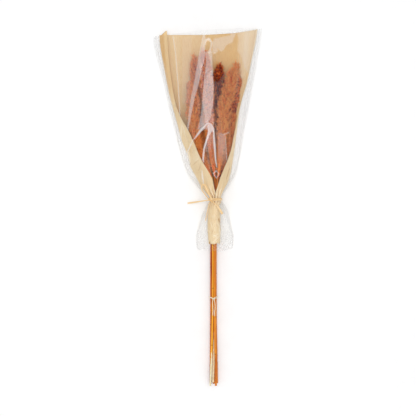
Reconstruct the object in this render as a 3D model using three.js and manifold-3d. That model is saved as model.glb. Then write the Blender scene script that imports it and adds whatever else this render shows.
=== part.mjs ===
// A florist's bundle of six dyed pampas grass stalks, laid on its back on a table.
// A sheet of kraft paper is wrapped round the plumes as a cone and round the stems as a tube.
// A clear film sleeve goes over the paper. A raffia bow gathers both at the neck, and a string
// ties the bare stems lower down.
//
// Millimetres. +Y runs from the neck towards the plume tips, +X to the right of a person looking
// down on the bundle, and +Z up from the table. The stalks and the wrap are laid out from the
// middle of the neck at y = 0 and the table at z = 0, and the finished bundle is then moved so that
// the origin is at the middle of the bottom of its bounding box.
import * as THREE from "three";
import { mergeVertices } from "three/addons/utils/BufferGeometryUtils.js";
import Module from "manifold-3d";

const degrees = Math.PI / 180;

// Stalks
const stemDiameter = 4.4;
const stemGap = 0.4; // between two stems of the bunch
const stemLength = 374; // from the neck down to the longest cut end
const stringTieDistance = 196; // from the neck down to the string
const endSpread = 1.45; // how far the bunch opens below the string, as a multiple of its radius
const stemLean = 4; // how far the bare stems lie to the left of the neck's middle
const stringTieRise = 1.6; // how far the string clears the table
const plumeWidth = 29;
const plumeThickness = 20;
const plumeGap = 1.2; // between two plumes
const plumeBase = 46; // where the plumes start above the neck
const widestAt = 180; // where the plumes are widest, above the neck

// Wrap
const clearance = 0.4; // between any two pieces that lie on each other
const filmThickness = 0.6;
const paperThickness = 0.8;
const gatherThickness = 3.2; // the paper's gathers round the stems at the neck
const coneLength = 332; // from the neck up to the middle of the mouth
const mouthWidth = 217;
const mouthHeight = 40;
const mouthRise = 15; // how much higher the mouth's right corner is than its left one
const coneLean = -15.5; // how far the middle of the mouth lies from the stems' line
const skirtLength = 103;
const skirtWidth = 74;
const skirtHeight = 29;
const paperTubeLength = 88;
const paperTubeWidth = 26;
const seamGap = 1.2; // between the paper's two edges where they meet
const leastCurl = 14 * degrees; // how far round from its side a paper edge curls at least
const cornerRise = 13; // how far the paper's folded corner stands above the film's mouth
const paperDrop = 5; // how far the rest of the paper's top edge lies inside the film's mouth

// Ties
const raffiaWidth = 2.6;
const raffiaThickness = 1.2;
const stringThickness = 1.6;

// Mesh resolution
const filmSides = 32;
const paperSides = 30;
const plumeSides = 10;
const stemSides = 8;
const coneShares = [0.04, 0.087, 0.12, 0.157, 0.19, 0.23, 0.31, 0.42, 0.54, 0.68, 0.84, 1];

const stemRadius = stemDiameter / 2;
const bunchRadius = stemDiameter + stemGap; // from the middle stem to the ring of stems round it
const bunchOuter = bunchRadius + stemRadius;
const paperNeckInner = bunchOuter + clearance;
const paperNeckOuter = paperNeckInner + gatherThickness;
const filmNeckOuter = paperNeckOuter + clearance + filmThickness;
const bandInner = filmNeckOuter + clearance;
const bandOuter = bandInner + raffiaThickness;
const neckHeight = bandOuter + clearance; // the neck's middle above the table
const stringTieInner = bunchOuter + clearance;
const stringTieOuter = stringTieInner + stringThickness;
const bandHalfWidth = raffiaWidth + clearance; // two turns of raffia, side by side
const paperFloor = filmThickness + clearance;
const plumeFloor = paperFloor + paperThickness + clearance;
const lowerRow = plumeFloor + plumeThickness / 2;
const upperRow = lowerRow + plumeThickness + plumeGap;
const plumePitch = plumeWidth + plumeGap;

const wasm = await Module();
wasm.setup();

// A smooth curve through [at, value] pairs that never overshoots them.
function throughPoints(pairs) {
  const steps = pairs.slice(1).map(([at, value], i) => (value - pairs[i][1]) / (at - pairs[i][0]));
  const slopes = pairs.map((_, i) => {
    const before = steps[Math.max(i - 1, 0)];
    const after = steps[Math.min(i, steps.length - 1)];
    return before * after <= 0 ? 0 : (2 * before * after) / (before + after);
  });
  return (at) => {
    const last = pairs.length - 2;
    let i = 0;
    while (i < last && at > pairs[i + 1][0]) i += 1;
    const width = pairs[i + 1][0] - pairs[i][0];
    const s = THREE.MathUtils.clamp((at - pairs[i][0]) / width, 0, 1);
    const rise = s * s * (3 - 2 * s);
    return (
      pairs[i][1] * (1 - rise) +
      pairs[i + 1][1] * rise +
      slopes[i] * width * s * (1 - s) * (1 - s) -
      slopes[i + 1] * width * s * s * (1 - s)
    );
  };
}

// ---------------------------------------------------------------- stalks

// ring: where the stem sits in the bunch, in degrees round the middle stem, or null for the middle.
// column and tipColumn: plume pitches across from the stems' line, at the widest point and the tip.
// tip: the height of the tip above the neck. short: how much shorter than the longest stem it is.
// cut: the length of the slanting cut at the stem's end.
const stalks = [
  { ring: 198, row: 0, column: -0.92, tipColumn: -1.42, tip: 295, width: 0.92, short: 3, cut: 7 },
  { ring: 126, row: 1, column: -1.45, tipColumn: -1.62, tip: 232, width: 0.92, short: 0, cut: 70 },
  { ring: null, row: 1, column: -0.45, tipColumn: -0.78, tip: 296, width: 0.98, short: 6, cut: 96 },
  { ring: 270, row: 0, column: 0.06, tipColumn: 0.26, tip: 267, width: 0.96, short: 2, cut: 8 },
  { ring: 54, row: 1, column: 0.64, tipColumn: 1.18, tip: 277, width: 1.1, short: 0, cut: 9 },
  { ring: 342, row: 0, column: 1.02, tipColumn: 1.5, tip: 246, width: 0.84, short: 4, cut: 6 },
].map((stalk) => {
  const offset = stalk.ring === null ? 0 : bunchRadius;
  const across = offset * Math.cos((stalk.ring ?? 0) * degrees);
  const up = offset * Math.sin((stalk.ring ?? 0) * degrees);
  const restHeight = bunchRadius * endSpread + stemRadius; // the bunch's middle at its cut ends
  const rowHeight = stalk.row ? upperRow : lowerRow;
  return {
    ...stalk,
    x: throughPoints([
      [-stemLength, across * endSpread - 0.8 * stemLean],
      [-stringTieDistance, across - stemLean],
      [-paperTubeLength, across - stemLean],
      [-bandHalfWidth, across],
      [bandHalfWidth, across],
      [widestAt, stalk.column * plumePitch],
      [stalk.tip, stalk.tipColumn * plumePitch],
    ]),
    z: throughPoints([
      [-stemLength, up * endSpread + restHeight],
      [-stringTieDistance, up + stringTieOuter + stringTieRise],
      [-bandHalfWidth, up + neckHeight],
      [bandHalfWidth, up + neckHeight],
      [widestAt, rowHeight],
      [stalk.tip, stalk.row ? rowHeight - 6 : rowHeight + 2],
    ]),
  };
});

// Moves a shape built round the Y axis onto a stalk's curving line.
function bendAlong(geometry, stalk) {
  const position = geometry.attributes.position;
  for (let i = 0; i < position.count; i += 1) {
    const y = position.getY(i);
    position.setX(i, position.getX(i) + stalk.x(y));
    position.setZ(i, position.getZ(i) + stalk.z(y));
  }
  return geometry;
}

function toSolid(geometry) {
  const bare = geometry.clone();
  bare.deleteAttribute("normal");
  bare.deleteAttribute("uv");
  const merged = mergeVertices(bare, 1e-4);
  return new wasm.Manifold(
    new wasm.Mesh({
      numProp: 3,
      vertProperties: merged.attributes.position.array,
      triVerts: new Uint32Array(merged.index.array),
    }),
  );
}

function toGeometry(solid) {
  const { vertProperties, triVerts } = solid.getMesh();
  const geometry = new THREE.BufferGeometry();
  geometry.setAttribute("position", new THREE.BufferAttribute(vertProperties, 3));
  geometry.setIndex(new THREE.BufferAttribute(triVerts, 1));
  geometry.computeVertexNormals();
  return geometry;
}

// A round stem from its cut end to the base of its plume. The cut slants down to the very end and
// faces up.
function stemGeometry(stalk) {
  const bottom = -stemLength + stalk.short;
  const top = plumeBase - clearance;
  const stem = new THREE.CylinderGeometry(stemRadius, stemRadius, top - bottom, stemSides, 12);
  stem.rotateY(Math.PI / stemSides);
  stem.translate(0, (top + bottom) / 2, 0);
  bendAlong(stem, stalk);
  const reach = stalk.cut + stemDiameter;
  const cutter = new THREE.BoxGeometry(3 * stemDiameter, 2 * reach, 3 * stemDiameter);
  cutter.translate(0, 0, 1.5 * stemDiameter);
  cutter.rotateX(Math.atan2(0.8 * stemDiameter, stalk.cut));
  const middle = bottom + stalk.cut / 2;
  cutter.translate(stalk.x(middle), middle, stalk.z(middle));
  return toGeometry(toSolid(stem).subtract(toSolid(cutter)));
}

// A plume's half width as a share of its widest, from its base at 0 to its tip at 1.
const plumeShape = throughPoints([
  [0, 0.16],
  [0.12, 0.34],
  [0.35, 0.68],
  [0.58, 1],
  [0.8, 0.9],
  [0.94, 0.55],
  [1, 0.12],
]);

function plumeGeometry(stalk) {
  const length = stalk.tip - plumeBase;
  const halfWidth = (plumeWidth * stalk.width) / 2;
  const rings = [0, 0.06, 0.16, 0.28, 0.4, 0.52, 0.66, 0.8, 0.9, 0.97, 1];
  const profile = rings.map(
    (s) => new THREE.Vector2(halfWidth * plumeShape(s), plumeBase + length * s),
  );
  profile.unshift(new THREE.Vector2(0, plumeBase));
  profile.push(new THREE.Vector2(0, stalk.tip));
  const plume = new THREE.LatheGeometry(profile, plumeSides);
  plume.scale(1, 1, plumeThickness / plumeWidth);
  return bendAlong(plume, stalk);
}

// ---------------------------------------------------------------- wrap

// The wrap's cross-section at each height is an ellipse whose underside is pressed flat on the
// table. Where the plumes need more room than the outline gives, the outline makes way for them.
const contentEdge = (side) => (y) =>
  side *
  Math.max(
    ...stalks.map((stalk) => {
      const s = (y - plumeBase) / (stalk.tip - plumeBase);
      const plumeHalf = (plumeWidth * stalk.width * plumeShape(s)) / 2;
      const half = s > 0 ? Math.max(plumeHalf, stemRadius) : stemRadius;
      return s < 1 ? side * stalk.x(y) + half : -Infinity;
    }),
  );
const contentLeft = contentEdge(-1);
const contentRight = contentEdge(1);

const mouthHalf = mouthWidth / 2;
const skirtHalf = skirtWidth / 2;
const filmHalf = throughPoints([
  [-skirtLength, skirtHalf - 0.7],
  [-0.76 * skirtLength, skirtHalf],
  [-0.53 * skirtLength, 0.87 * skirtHalf],
  [-0.25 * skirtLength, 0.69 * skirtHalf],
  [-bandHalfWidth, filmNeckOuter],
  [bandHalfWidth, filmNeckOuter],
  [0.04 * coneLength, 0.21 * mouthHalf],
  [0.087 * coneLength, 0.32 * mouthHalf],
  [0.157 * coneLength, 0.45 * mouthHalf],
  [0.31 * coneLength, 0.573 * mouthHalf],
  [0.54 * coneLength, 0.723 * mouthHalf],
  [coneLength, mouthHalf],
]);
const filmMiddle = throughPoints([
  [-skirtLength, -1],
  [0, 0],
  [0.16 * coneLength, 0.48 * coneLean],
  [0.54 * coneLength, 0.8 * coneLean],
  [coneLength, coneLean],
]);
// The paper's edges, counted inwards from the film's.
const paperInsetLeft = throughPoints([
  [bandHalfWidth, filmThickness + clearance],
  [0.085 * coneLength, 8],
  [0.2 * coneLength, 12],
  [0.33 * coneLength, 9.5],
  [0.52 * coneLength, 4.5],
  [0.72 * coneLength, 6.5],
  [coneLength, 12],
]);
const paperInsetRight = throughPoints([
  [bandHalfWidth, filmThickness + clearance],
  [0.12 * coneLength, 8],
  [0.31 * coneLength, 12.5],
  [0.5 * coneLength, 16.5],
  [0.75 * coneLength, 12.5],
  [coneLength, 10],
]);
const wrapTop = throughPoints([
  [-skirtLength, skirtHeight - 1],
  [-0.5 * skirtLength, skirtHeight],
  [-bandHalfWidth, neckHeight + filmNeckOuter],
  [bandHalfWidth, neckHeight + filmNeckOuter],
  [0.16 * coneLength, 0.5 * (neckHeight + filmNeckOuter + upperRow + plumeThickness)],
  [widestAt, upperRow + plumeThickness / 2 + 4],
  [coneLength, mouthHeight],
]);
const wrapMiddle = throughPoints([
  [-skirtLength, 6],
  [-0.3 * skirtLength, 9],
  [-bandHalfWidth, neckHeight],
  [bandHalfWidth, neckHeight],
  [0.3 * coneLength, 12],
  [coneLength, 9],
]);
const tubeHalf = throughPoints([
  [-paperTubeLength, 0.44 * paperTubeWidth],
  [-0.5 * paperTubeLength, 0.5 * paperTubeWidth],
  [-bandHalfWidth, paperNeckOuter],
]);

// An ellipse's sine and cosine are raised to this power: 1 is a plain ellipse, and less is fuller.
const sectionFullness = throughPoints([
  [bandHalfWidth, 1],
  [0.157 * coneLength, 0.72],
  [coneLength, 0.7],
]);

function signedPower(value, power) {
  return Math.sign(value) * Math.abs(value) ** power;
}

const paperRoom = paperThickness + 3 * clearance; // kept beside the outermost plume
const filmRoom = paperRoom + filmThickness + clearance;

function filmSection(y) {
  const left = Math.min(filmMiddle(y) - filmHalf(y), contentLeft(y) - filmRoom);
  const right = Math.max(filmMiddle(y) + filmHalf(y), contentRight(y) + filmRoom);
  const inTube = y < bandHalfWidth;
  return {
    middle: inTube ? filmMiddle(y) : (left + right) / 2,
    half: inTube ? filmHalf(y) : (right - left) / 2,
    height: wrapMiddle(y),
    rise: wrapTop(y) - wrapMiddle(y),
    floor: 0,
  };
}

function paperSection(y) {
  const film = filmSection(y);
  if (y < bandHalfWidth) {
    const half = y > -bandHalfWidth ? paperNeckOuter : tubeHalf(y);
    const middle = y > -bandHalfWidth ? 0 : 0.65 * stalks[2].x(y);
    return { middle, half, height: neckHeight, rise: paperNeckOuter, floor: paperFloor };
  }
  const left = Math.min(film.middle - film.half + paperInsetLeft(y), contentLeft(y) - paperRoom);
  const right = Math.max(film.middle + film.half - paperInsetRight(y), contentRight(y) + paperRoom);
  return {
    middle: (left + right) / 2,
    half: (right - left) / 2,
    height: film.height,
    rise: film.rise - filmThickness - clearance,
    floor: paperFloor,
  };
}

function inwards(section, thickness) {
  return {
    ...section,
    half: section.half - thickness,
    rise: section.rise - thickness,
    floor: section.floor + thickness,
  };
}

// The point at an angle on a cross-section. Towards the mouth the wrap leans up to the right.
function sectionPoint(section, y, angle) {
  const fullness = sectionFullness(y);
  const across = signedPower(Math.cos(angle), fullness);
  const up = signedPower(Math.sin(angle), fullness);
  const slant = Math.max(y / coneLength, 0) ** 2;
  return new THREE.Vector3(
    section.middle + section.half * across,
    y + (mouthRise / 2) * slant * across,
    Math.max(section.floor, section.height + section.rise * up),
  );
}

// A closed skin between an outer and an inner grid of points. closedRound joins each row's end to
// its start; otherwise the two long edges get a rim of their own.
function skinGeometry(outer, inner, closedRound) {
  const rows = outer.length;
  const columns = outer[0].length;
  const points = [...outer.flat(), ...inner.flat()];
  const corner = (layer, row, column) => (layer * rows + row) * columns + (column % columns);
  const faces = [];
  const quad = (a, b, c, d) => faces.push(a, b, c, a, c, d);
  const spans = closedRound ? columns : columns - 1;
  for (let row = 0; row < rows - 1; row += 1) {
    for (let column = 0; column < spans; column += 1) {
      quad(
        corner(0, row, column),
        corner(0, row + 1, column),
        corner(0, row + 1, column + 1),
        corner(0, row, column + 1),
      );
      quad(
        corner(1, row, column),
        corner(1, row, column + 1),
        corner(1, row + 1, column + 1),
        corner(1, row + 1, column),
      );
    }
  }
  for (let column = 0; column < spans; column += 1) {
    const last = rows - 1;
    quad(
      corner(0, 0, column),
      corner(0, 0, column + 1),
      corner(1, 0, column + 1),
      corner(1, 0, column),
    );
    quad(
      corner(0, last, column),
      corner(1, last, column),
      corner(1, last, column + 1),
      corner(0, last, column + 1),
    );
  }
  if (!closedRound) {
    const end = columns - 1;
    for (let row = 0; row < rows - 1; row += 1) {
      quad(corner(0, row, 0), corner(1, row, 0), corner(1, row + 1, 0), corner(0, row + 1, 0));
      quad(
        corner(0, row, end),
        corner(0, row + 1, end),
        corner(1, row + 1, end),
        corner(1, row, end),
      );
    }
  }
  const geometry = new THREE.BufferGeometry().setFromPoints(points);
  geometry.setIndex(faces);
  geometry.computeVertexNormals();
  return geometry;
}

// The film: one tube, open at the mouth and at the skirt's hem.
function filmGeometry() {
  const heights = [
    ...[-1, -0.76, -0.53, -0.3, -0.14].map((share) => share * skirtLength),
    -bandHalfWidth,
    bandHalfWidth,
    ...coneShares.map((share) => share * coneLength),
  ];
  const grid = (thickness) =>
    heights.map((y) =>
      Array.from({ length: filmSides }, (_, i) =>
        sectionPoint(inwards(filmSection(y), thickness), y, (2 * Math.PI * i) / filmSides),
      ),
    );
  return skinGeometry(grid(0), grid(filmThickness), true);
}

// Where the paper's two front edges lie across the cone. The left edge folds over the front all the
// way up, and the right one only low down.
const leftEdge = throughPoints([
  [0, -seamGap / 2],
  [0.066 * coneLength, -2.2],
  [0.157 * coneLength, -13],
  [0.265 * coneLength, -33],
  [0.415 * coneLength, -56],
  [0.63 * coneLength, -81],
  [coneLength, -97],
]);
const rightEdge = throughPoints([
  [0, seamGap / 2],
  [0.066 * coneLength, 3.6],
  [0.142 * coneLength, 12],
  [0.3 * coneLength, 32],
  [0.415 * coneLength, 39],
  [coneLength, 82],
]);

function edgeAngle(section, y, x) {
  const share = THREE.MathUtils.clamp((x - section.middle) / section.half, -1, 1);
  const angle = Math.acos(signedPower(share, 1 / sectionFullness(y)));
  return THREE.MathUtils.clamp(angle, leastCurl, Math.PI - leastCurl);
}

// The paper's top edge, along the sheet from the left flap's corner round the back to the right.
const topEdge = throughPoints([
  [0, cornerRise],
  [0.07, cornerRise * 0.4],
  [0.13, -paperDrop * 0.4],
  [0.5, -paperDrop],
  [0.9, -paperDrop * 0.4],
  [1, 0],
]);

// The paper: one sheet with its two long edges at the front, from the foot of the tube to the mouth.
function paperGeometry() {
  const heights = [
    ...[-1, -0.75, -0.5, -0.25].map((share) => share * paperTubeLength),
    -bandHalfWidth,
    bandHalfWidth,
    ...coneShares.map((share) => share * coneLength),
  ];
  const last = heights.length - 1;
  const grid = (thickness) =>
    heights.map((y, row) => {
      const section = paperSection(y);
      const upper = y > bandHalfWidth;
      const leftAt = upper ? leftEdge(y) : section.middle - seamGap / 2;
      const rightAt = upper ? rightEdge(y) : section.middle + seamGap / 2;
      const from = edgeAngle(section, y, leftAt);
      const to = 2 * Math.PI + edgeAngle(section, y, rightAt);
      const gathered = Math.abs(y) <= bandHalfWidth;
      const wall = gathered && thickness > 0 ? gatherThickness : thickness;
      return Array.from({ length: paperSides }, (_, i) => {
        const share = i / (paperSides - 1);
        const point = sectionPoint(inwards(section, wall), y, from + (to - from) * share);
        if (row === last) point.y += topEdge(share);
        return point;
      });
    });
  return skinGeometry(grid(0), grid(paperThickness), false);
}

// ---------------------------------------------------------------- ties

// The free strands' routes, chosen by hand: [across, along, above the table] from the neck.
const raffiaRoutes = {
  raffia_loop: [
    [-14.4, 1.6, 28.2],
    [-18.5, 7, 29],
    [-23, 13, 29.4],
    [-26.8, 19, 29.8],
    [-28, 25, 30.4],
    [-25.4, 29.4, 31.4],
    [-21, 28.4, 33],
    [-17.4, 22, 33.4],
    [-14, 14, 32.4],
    [-11, 7, 30.6],
    [-9.6, 4.4, 29.6],
  ],
  raffia_tail_left: [
    [-14.6, -1.4, 26.2],
    [-21, -2.4, 23],
    [-29, -3.6, 17],
    [-37, -4.8, 10.6],
    [-44, -5.8, 5.2],
    [-50, -6.6, 2.4],
    [-56.2, -7.4, 1.6],
  ],
  raffia_tail_right: [
    [-5.2, -5.4, 28.6],
    [-0.5, -9.2, 28.4],
    [4.4, -14.4, 28],
    [8.8, -20.6, 27.4],
    [13.8, -29.2, 26.6],
  ],
  raffia_tail_down: [
    [-11.6, -5.6, 26.6],
    [-13.6, -12, 25.4],
    [-15.4, -20, 25],
    [-17.4, -30, 25.4],
    [-19.9, -42.6, 25.8],
  ],
};
const stringRoutes = {
  string_tail_1: [
    [-5, -199.4, 20.6],
    [-5.8, -207, 20.4],
    [-5.2, -216, 20.4],
    [-4.8, -224, 20.4],
    [-5.4, -232, 20.6],
  ],
  string_tail_2: [
    [-2.6, -199.6, 20.4],
    [-1, -208, 20.2],
    [-0.6, -217, 20.2],
    [-1.6, -225, 20.4],
    [-1.4, -233, 20.6],
  ],
};

// A flat strand along a route, its width lying level.
function strandGeometry(route, width, thickness, steps) {
  const section = new THREE.Shape();
  section.absellipse(0, 0, thickness / 2, width / 2, 0, 2 * Math.PI);
  return new THREE.ExtrudeGeometry(section, {
    extrudePath: new THREE.CatmullRomCurve3(route.map((point) => new THREE.Vector3(...point))),
    steps,
    curveSegments: 4,
    bevelEnabled: false,
  });
}

// A closed ring round the Y axis, such as a tie's turns round the neck.
function ringGeometry(inner, outer, halfWidth, sides) {
  const corner = 0.3 * (outer - inner);
  const profile = [
    [inner, -halfWidth],
    [outer - corner, -halfWidth],
    [outer, -halfWidth + corner],
    [outer, halfWidth - corner],
    [outer - corner, halfWidth],
    [inner, halfWidth],
    [inner, -halfWidth],
  ];
  return new THREE.LatheGeometry(
    profile.map(([r, y]) => new THREE.Vector2(r, y)),
    sides,
  );
}

// A knot's lump, lying against a tie of a given radius at a given angle round the Y axis.
function knotGeometry(tieRadius, angle, halfWidth, halfLength, halfThickness) {
  const lump = new THREE.SphereGeometry(1, 12, 8);
  lump.scale(halfThickness, halfLength, halfWidth);
  lump.translate(tieRadius + clearance + halfThickness, 0, 0);
  return lump.rotateY(-angle);
}

// ---------------------------------------------------------------- assembly

const bundle = new THREE.Group();

function material(color, roughness, options = {}) {
  return new THREE.MeshStandardMaterial({ color, roughness, metalness: 0, ...options });
}

const stemMaterial = material(0xc8741c, 0.5);
const plumeMaterial = material(0xa8512a, 0.95);
const paperMaterial = material(0xdcb888, 0.8);
const filmMaterial = material(0xf2f2ee, 0.08, { transparent: true, opacity: 0.3 });
const raffiaMaterial = material(0xe8c387, 0.7);
const stringMaterial = material(0xecdcba, 0.8);

function addPiece(name, geometry, finish, [x, y, z] = [0, 0, 0]) {
  const mesh = new THREE.Mesh(geometry, finish);
  mesh.name = name;
  mesh.position.set(x, y, z);
  bundle.add(mesh);
  return mesh;
}

const turnPitch = raffiaWidth + clearance;

stalks.forEach((stalk, i) => {
  addPiece(`stem_${i + 1}`, stemGeometry(stalk), stemMaterial);
  addPiece(`plume_${i + 1}`, plumeGeometry(stalk), plumeMaterial);
});
addPiece("kraft_paper_wrap", paperGeometry(), paperMaterial);
addPiece("clear_film_sleeve", filmGeometry(), filmMaterial);

[-0.5, 0.5].forEach((turn, i) => {
  const geometry = ringGeometry(bandInner, bandOuter, raffiaWidth / 2, 24);
  addPiece(`raffia_turn_${i + 1}`, geometry, raffiaMaterial, [0, turn * turnPitch, neckHeight]);
});
for (const [name, route] of Object.entries(raffiaRoutes)) {
  addPiece(name, strandGeometry(route, raffiaWidth, raffiaThickness, 18), raffiaMaterial);
}
const raffiaKnot = knotGeometry(bandOuter, 122 * degrees, 4.6, 4, 3);
addPiece("raffia_knot", raffiaKnot, raffiaMaterial, [0, 0, neckHeight]);

const stringMiddle = [-stemLean, -stringTieDistance, stringTieOuter + stringTieRise];
const stringRing = ringGeometry(stringTieInner, stringTieOuter, stringThickness, 20);
addPiece("string_tie", stringRing, stringMaterial, stringMiddle);
const stringKnot = knotGeometry(stringTieOuter, 88 * degrees, 2, 2.4, 1.3);
addPiece("string_knot", stringKnot, stringMaterial, stringMiddle);
for (const [name, route] of Object.entries(stringRoutes)) {
  addPiece(name, strandGeometry(route, stringThickness, stringThickness, 12), stringMaterial);
}


const box = new THREE.Box3().setFromObject(bundle, true);
const middle = box.getCenter(new THREE.Vector3());
bundle.position.set(-middle.x, -middle.y, -box.min.z);

export default bundle;
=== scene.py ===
"""A florist's bundle of dyed pampas grass, lying on a table and seen from straight above.

The kraft paper, the film sleeve, the plumes, the stems and the ties are made in millimetres from
the middle of the neck, where the raffia gathers the bundle, with z counted from the table. put()
turns them into the frame's metres.
"""

import bpy
import math
import numpy as np
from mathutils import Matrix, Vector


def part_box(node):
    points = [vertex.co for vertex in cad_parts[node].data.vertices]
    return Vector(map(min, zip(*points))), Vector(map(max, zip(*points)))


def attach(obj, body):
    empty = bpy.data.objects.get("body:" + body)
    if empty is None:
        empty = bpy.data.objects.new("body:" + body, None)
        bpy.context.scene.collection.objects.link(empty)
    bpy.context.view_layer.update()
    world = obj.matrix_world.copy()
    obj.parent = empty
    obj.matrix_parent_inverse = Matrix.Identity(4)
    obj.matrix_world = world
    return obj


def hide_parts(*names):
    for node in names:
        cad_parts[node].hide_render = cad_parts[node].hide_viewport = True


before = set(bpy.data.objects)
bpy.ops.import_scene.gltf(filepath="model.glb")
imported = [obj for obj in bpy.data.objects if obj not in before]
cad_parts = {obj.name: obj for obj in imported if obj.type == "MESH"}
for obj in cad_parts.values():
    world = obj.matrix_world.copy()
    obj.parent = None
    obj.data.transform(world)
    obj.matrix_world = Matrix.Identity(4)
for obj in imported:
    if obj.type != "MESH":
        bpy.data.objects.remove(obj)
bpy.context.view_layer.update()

MM = 0.001
BODY = "root"
TURN = 2 * math.pi


def box_mm(node):
    low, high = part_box(node)
    return np.array(low) / MM, np.array(high) / MM


def middle_of(node):
    """The middle of a CAD node's box, from the neck and the table."""
    low, high = box_mm(node)
    return (low + high) / 2 - [NECK[0], NECK[1], 0]


# The neck, from the two turns of raffia round it.
first_turn = box_mm("raffia_turn_1")
second_turn = box_mm("raffia_turn_2")
NECK = (first_turn[0] + second_turn[1]) / 2
NECK_HEIGHT = float(NECK[2])
BAND_RADIUS = float(first_turn[1][0] - first_turn[0][0]) / 2
BAND_PITCH = float(second_turn[0][1] - first_turn[0][1])
RAFFIA = float(first_turn[1][1] - first_turn[0][1])

# The mouth slants up to the right, so the cone's middle line is shorter than the film's box.
film_low, film_high = box_mm("clear_film_sleeve")
MOUTH_SLANT = 15.0
CONE_LENGTH = float(film_high[1] - NECK[1]) - MOUTH_SLANT / 2
SKIRT_LENGTH = float(NECK[1] - film_low[1])
WRAP_TOP = float(film_high[2])
TUBE_LENGTH = float(NECK[1] - box_mm("kraft_paper_wrap")[0][1])

# The film's and the paper's radius at the neck, the heights of their edges and backs further off,
# and the lowest that any point of them may lie.
NECK_FILM, NECK_PAPER = 11.6, 10.4
FILM_EDGE, FILM_FLOOR = 1.6, 0.15
PAPER_FLOOR, PAPER_UNDER_FILM, PAPER_THICKNESS = 1.0, 2.6, 0.25
LOWEST_PAPER, LOWEST_FILM = 0.7, 0.12


# ---- curves and noise


def through(*pairs):
    """A smooth curve through (at, value) pairs that never overshoots them."""
    at, value = np.array(pairs, float).T
    width = np.diff(at)
    step = np.diff(value) / width
    before, after = np.append(step[0], step), np.append(step, step[-1])
    total = np.where(before + after == 0, 1, before + after)
    slope = np.where(before * after <= 0, 0, 2 * before * after / total)

    def curve(x):
        x = np.asarray(x, float)
        i = np.clip(np.searchsorted(at, x) - 1, 0, len(width) - 1)
        s = np.clip((x - at[i]) / width[i], 0, 1)
        rise = s * s * (3 - 2 * s)
        bend = width[i] * s * (1 - s) * (slope[i] * (1 - s) - slope[i + 1] * s)
        return value[i] * (1 - rise) + value[i + 1] * rise + bend

    return curve


def around_in(count):
    """Evenly spaced angles once round a circle."""
    return np.linspace(0, TURN, count, endpoint=False)


def circle(count):
    """Points of a unit circle."""
    around = around_in(count)
    return np.stack([np.cos(around), np.sin(around)], axis=1)


def triangle(x):
    """A triangle wave between -1 and 1 with period 1."""
    return 4 * np.abs(x - np.floor(x + 0.5)) - 1


def smooth(x, low, high):
    """A soft step from 0 at low to 1 at high."""
    s = np.clip((x - low) / (high - low), 0, 1)
    return s * s * (3 - 2 * s)


def wander(x, seed, waves=5, shortest=1.0):
    """A smooth random line of about unit size, its shortest wave as long as shortest."""
    random = np.random.default_rng(seed)
    total = np.zeros_like(np.asarray(x, float))
    for k in range(1, waves + 1):
        length = shortest * waves / k
        total += np.sin(TURN * (x / length + random.random())) / math.sqrt(waves)
    return total


def creases(x, y, seed, count, area, lengths, widths, heights, lean):
    """Straight folds scattered over an area, as their height and how near each point is to a ridge.

    Each fold has one steep side and one easy side.
    """
    random = np.random.default_rng(seed)
    total, ridge = np.zeros_like(x), np.zeros_like(x)
    for _ in range(count):
        centre_x, centre_y = random.uniform(*area)
        turn = random.normal(0, lean)
        along = (x - centre_x) * math.sin(turn) + (y - centre_y) * math.cos(turn)
        across = (x - centre_x) * math.cos(turn) - (y - centre_y) * math.sin(turn)
        half_length = random.uniform(*lengths) / 2
        width = random.uniform(*widths)
        height = random.uniform(*heights) * random.choice([-1, 1])
        steep = random.uniform(0.15, 0.5)
        easy_side = np.clip(1 - across / width, 0, 1)
        steep_side = np.clip(1 + across / (steep * width), 0, 1)
        fade = np.clip(1 - (along / half_length) ** 2, 0, 1)
        total += height * fade * np.where(across > 0, easy_side, steep_side)
        ridge = np.maximum(ridge, fade * np.exp(-((across / 0.9) ** 2)))
    return total, ridge


def band(x, y, bottom, top, left, right, soft=1.2):
    """1 between two edges and two heights, and 0 outside them."""
    inside = smooth(x, left(y) - soft, left(y) + soft)
    inside *= 1 - smooth(x, right(y) - soft, right(y) + soft)
    return inside * smooth(y, bottom - 2, bottom + 2) * (1 - smooth(y, top - 2, top + 2))


def from_segment(x, y, x0, y0, x1, y1):
    """How far points are from a straight segment, and where along it they are, from 0 to 1."""
    wide, high = x1 - x0, y1 - y0
    t = np.clip(((x - x0) * wide + (y - y0) * high) / (wide**2 + high**2), 0, 1)
    return np.hypot(x - x0 - t * wide, y - y0 - t * high), t


def streak(x, y, *stations):
    """A line through (x, y, width) stations, 1 on it and 0 outside it."""
    best = np.zeros_like(x)
    for (x0, y0, w0), (x1, y1, w1) in zip(stations[:-1], stations[1:]):
        away, t = from_segment(x, y, x0, y0, x1, y1)
        half = (w0 + t * (w1 - w0)) / 2
        best = np.maximum(best, 1 - smooth(away, half - 0.7, half + 0.7))
    return best


def patch(x, y, *corners):
    """1 inside a straight-sided outline, and 0 outside it."""
    inside = np.zeros(x.shape, bool)
    edge = np.full(x.shape, np.inf)
    for (x0, y0), (x1, y1) in zip(corners, corners[1:] + corners[:1]):
        crosses = (y0 > y) != (y1 > y)
        level = 1e-9 if y1 == y0 else y1 - y0
        inside ^= crosses & (x < (x1 - x0) * (y - y0) / level + x0)
        edge = np.minimum(edge, from_segment(x, y, x0, y0, x1, y1)[0])
    return smooth(np.where(inside, edge, -edge), -1, 1)


# ---- outlines

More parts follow.
